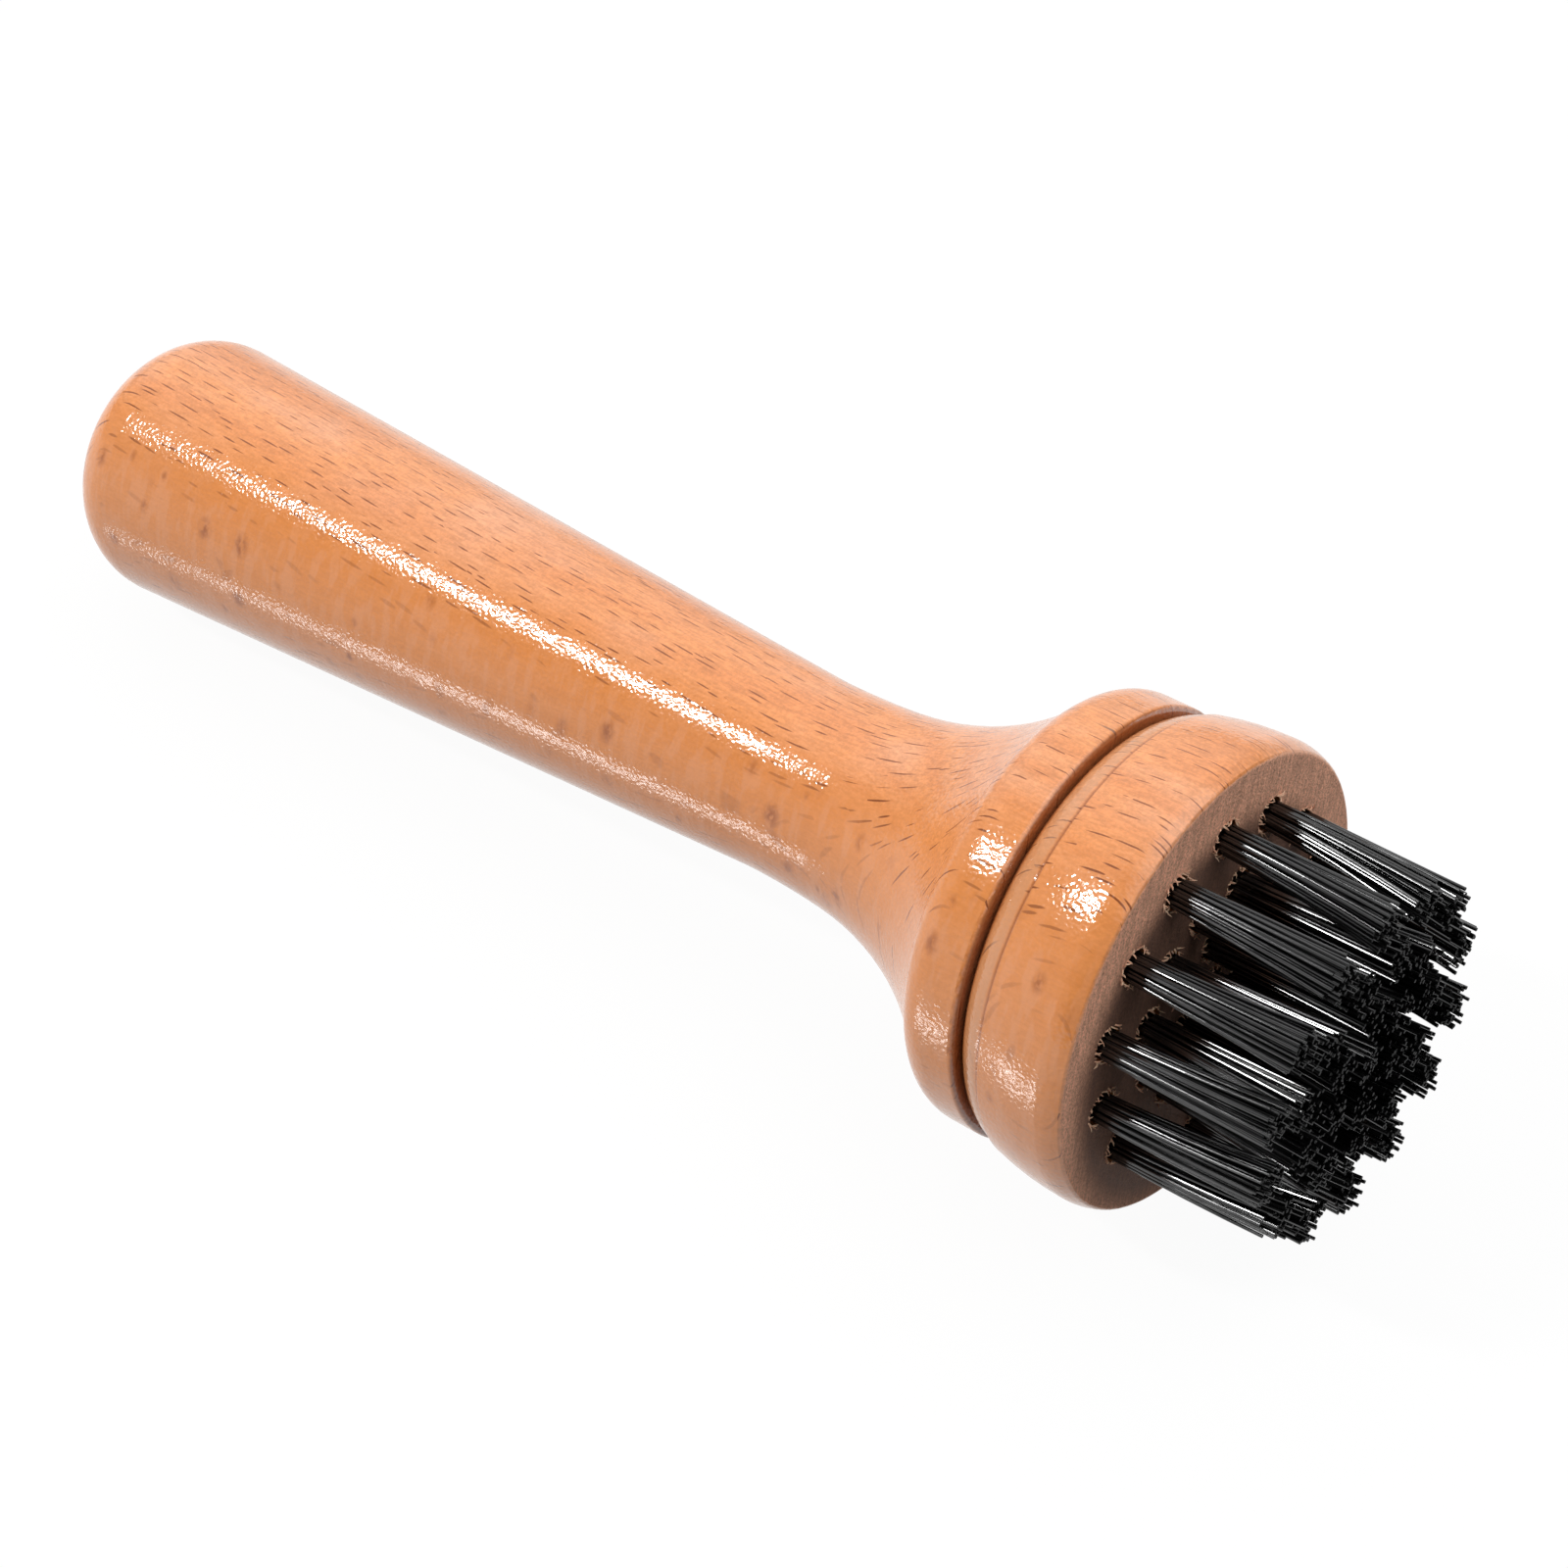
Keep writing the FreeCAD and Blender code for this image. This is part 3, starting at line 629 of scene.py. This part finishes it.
class BRUSH_OT_tufts(bpy.types.Operator):
    """Fill each drilled hole with a bundle of nylon filaments, trimmed to one plane"""
    bl_idname = "brush.tufts"
    bl_label = "Filament Tufts"

    def execute(self, context):
        sizes = context.scene.brush_sizes
        colours = context.scene.brush_colours
        materials = [black_nylon(colours), cut_nylon(colours)]
        golden = math.pi * (3 - math.sqrt(5))
        for number, node in enumerate(sorted(n for n in frame["nodes"] if n.startswith("tuft_"))):
            rng = random.Random(400 + number)
            root, trim = tuft_ends(node, sizes.bristle_length)
            store = ([], [], [])
            start = rng.uniform(0, 2 * math.pi)
            for index in range(sizes.filaments):
                share = math.sqrt((index + 0.5) / sizes.filaments)
                spot = (start + index * golden + rng.uniform(-0.12, 0.12), share)
                spine = filament_spine(root, trim, spot, sizes, rng)
                radius = sizes.filament_width / 2 * rng.uniform(0.92, 1.06)
                add_tube(store, spine, [radius] * len(spine), FILAMENT_SIDES, end_slot=1,
                         twist=rng.gauss(FLAT_TURN, FLAT_SPREAD))
            points, faces, slots = store
            piece = new_piece(f"filaments_{node[5:]}", points, faces, materials, slots)
            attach(piece, "root")
            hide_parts(node)
        return {"FINISHED"}


class BRUSH_OT_torn_rims(bpy.types.Operator):
    """Raise short torn wood fibres around the mouth of each drilled hole"""
    bl_idname = "brush.torn_rims"
    bl_label = "Torn Hole Rims"

    def execute(self, context):
        sizes = context.scene.brush_sizes
        rng = random.Random(77)
        store = ([], [], [])
        for node in sorted(n for n in frame["nodes"] if n.startswith("tuft_")):
            mouth, trim = tuft_ends(node, sizes.bristle_length)
            for index in range(RIM_FIBRES):
                turn = 2 * math.pi * (index + rng.uniform(-0.45, 0.45)) / RIM_FIBRES
                out = UP * math.cos(turn) + SIDE * math.sin(turn)
                around = AXIS.cross(out)
                foot = mouth + out * (sizes.hole_radius + rng.uniform(0.02, 0.22) * MILLIMETRE)
                foot -= AXIS * 0.04 * MILLIMETRE
                length = rng.uniform(0.3, 0.85) * MILLIMETRE
                lean = (out * rng.uniform(-1.0, 0.7) + AXIS * rng.uniform(0.15, 0.8)
                        + around * rng.uniform(-0.9, 0.9)).normalized()
                tip = foot + lean * length
                middle = (foot + tip) / 2 + AXIS * length * 0.15
                width = rng.uniform(0.05, 0.12) * MILLIMETRE
                add_tube(store, [foot, middle, tip], [width, width * 0.8, width * 0.2], 4)
        points, faces, slots = store
        piece = new_piece("torn_hole_rims", points, faces, [torn_fibre(context.scene.brush_colours)])
        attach(piece, "root")
        return {"FINISHED"}


# ---- stage ----------------------------------------------------------------------------------

# Lamps: direction from the brush, length along it, width across it, and power.
LAMPS = {
    "key_lamp": ((-0.505, -0.485, 0.714), 0.56, 0.17, 20.0),
    "under_lamp": ((-0.46, -0.68, -0.57), 0.60, 0.12, 7.5),
}
LAMP_DISTANCE = 2.0
FLOOR_HALF = 3.0


def add_lamp(name, target):
    """A soft strip of light that lies along the brush."""
    direction, length, width, power = LAMPS[name]
    lamp = bpy.data.lights.new(name, "AREA")
    lamp.shape = "ELLIPSE"
    lamp.size = length
    lamp.size_y = width
    lamp.energy = power
    holder = bpy.data.objects.new(name, lamp)
    bpy.context.scene.collection.objects.link(holder)
    back = Vector(direction).normalized()
    along = (AXIS - back * AXIS.dot(back)).normalized()
    turn = Matrix((along, back.cross(along), back)).transposed().to_4x4()
    holder.matrix_world = Matrix.Translation(target + back * LAMP_DISTANCE) @ turn


def add_floor(level):
    material, nodes, shader = new_material("studio_floor")
    shader.inputs["Roughness"].default_value = 0.6
    shader.inputs["Specular IOR Level"].default_value = 0.2
    glow = nodes.add("ShaderNodeEmission", {"Color": (1, 1, 1, 1), "Strength": 1.0})
    path = nodes.add("ShaderNodeLightPath")
    seen = nodes.maths("MAXIMUM", path.outputs["Is Camera Ray"], path.outputs["Is Glossy Ray"])
    seen = nodes.maths("MAXIMUM", seen, path.outputs["Is Transmission Ray"])
    # white to the eye and in reflections, dark as a source of bounced light
    nodes.feed(shader.inputs["Base Color"], nodes.mix(seen, (0.12, 0.12, 0.12, 1), (0.9, 0.9, 0.9, 1)))
    share = nodes.maths("MULTIPLY", seen, 0.95)
    mixed = nodes.add("ShaderNodeMixShader", {0: share, 1: shader.outputs[0], 2: glow.outputs[0]})
    nodes.feed(nodes.tree.nodes["Material Output"].inputs["Surface"], mixed.outputs[0])
    signs = ((-1, -1), (1, -1), (1, 1), (-1, 1))
    corners = [(x * FLOOR_HALF, y * FLOOR_HALF, level) for x, y in signs]
    floor = new_piece("studio_floor", corners, [(0, 1, 2, 3)], [material])
    floor.visible_shadow = False


# Soft patches of light in dim surroundings: direction, strength and how far round each one reaches.
SURROUNDINGS_LEVEL = 0.16
SOFT_PATCHES = (
    ((0.47, 0.15, 0.87), 1.7, 0.66),
    ((-0.5, 0.5, 0.7), 1.1, 0.5),
    ((-0.6, -0.72, -0.35), 0.75, 0.5),
)


def add_world():
    world = bpy.data.worlds.new("studio_world")
    bpy.context.scene.world = world
    world.use_nodes = True
    nodes = Nodes(world.node_tree)
    way = nodes.add("ShaderNodeTexCoord").outputs["Generated"]
    level = SURROUNDINGS_LEVEL
    for direction, strength, edge in SOFT_PATCHES:
        facing = nodes.vector("DOT_PRODUCT", way, direction, output="Value")
        level = nodes.maths("ADD", nodes.ramp(facing, edge, 1.0, 0.0, strength), level)
    background = world.node_tree.nodes["Background"]
    background.inputs["Color"].default_value = (1, 1, 1, 1)
    nodes.feed(background.inputs["Strength"], level)


def add_camera(studio, face_centre):
    """A camera with a level horizon, which sees the drilled face right of and below its middle."""
    right = Vector((math.cos(studio.azimuth), math.sin(studio.azimuth), 0))
    level = Vector((-math.sin(studio.azimuth), math.cos(studio.azimuth), 0))
    forward = level * math.cos(studio.elevation) - Vector((0, 0, math.sin(studio.elevation)))
    down = forward.cross(right)
    data = bpy.data.cameras.new("camera")
    data.lens = studio.lens
    data.sensor_width = 36
    data.clip_start = 0.01
    camera = bpy.data.objects.new("camera", data)
    bpy.context.scene.collection.objects.link(camera)
    turn = Matrix((right, -down, -forward)).transposed().to_4x4()
    place = face_centre - right * studio.face_right - down * studio.face_down - forward * studio.distance
    camera.matrix_world = Matrix.Translation(place) @ turn
    bpy.context.scene.camera = camera


class BRUSH_OT_stage(bpy.types.Operator):
    """Set up the floor, the lamps, the surroundings and the camera"""
    bl_idname = "brush.stage"
    bl_label = "Studio"

    def execute(self, context):
        scene = context.scene
        low, high = (Vector(corner) for corner in cad_bounds)
        middle = (low + high) / 2
        add_floor(low.z)
        for name in LAMPS:
            add_lamp(name, middle)
        add_world()
        face_centre = TRIM_CENTRE - AXIS * scene.brush_sizes.bristle_length
        add_camera(scene.brush_studio, face_centre)
        scene.view_settings.view_transform = "Standard"
        return {"FINISHED"}


# ---- panel and registration -----------------------------------------------------------------

OPERATORS = (BRUSH_OT_handle, BRUSH_OT_anchors, BRUSH_OT_tufts, BRUSH_OT_torn_rims, BRUSH_OT_stage)
SETTINGS = {"brush_sizes": BrushSizes, "brush_colours": BrushColours, "brush_studio": BrushStudio}


class BRUSH_PT_panel(bpy.types.Panel):
    """Lists the brush's sizes, colours and makers"""
    bl_label = "Beard Brush"
    bl_idname = "BRUSH_PT_panel"
    bl_space_type = "VIEW_3D"
    bl_region_type = "UI"
    bl_category = "Brush"

    def draw(self, context):
        for name, group in SETTINGS.items():
            box = self.layout.box()
            for key in group.__annotations__:
                box.prop(getattr(context.scene, name), key)
        for operator in OPERATORS:
            self.layout.operator(operator.bl_idname)


CLASSES = (*SETTINGS.values(), *OPERATORS, BRUSH_PT_panel)


def register():
    for item in CLASSES:
        bpy.utils.register_class(item)
    for name, group in SETTINGS.items():
        setattr(bpy.types.Scene, name, PointerProperty(type=group))


def unregister():
    for name in SETTINGS:
        delattr(bpy.types.Scene, name)
    for item in reversed(CLASSES):
        bpy.utils.unregister_class(item)


def main():
    register()
    bpy.ops.brush.handle()
    bpy.ops.brush.anchors()
    bpy.ops.brush.tufts()
    bpy.ops.brush.torn_rims()
    bpy.ops.brush.stage()


if __name__ == "__main__":
    main()
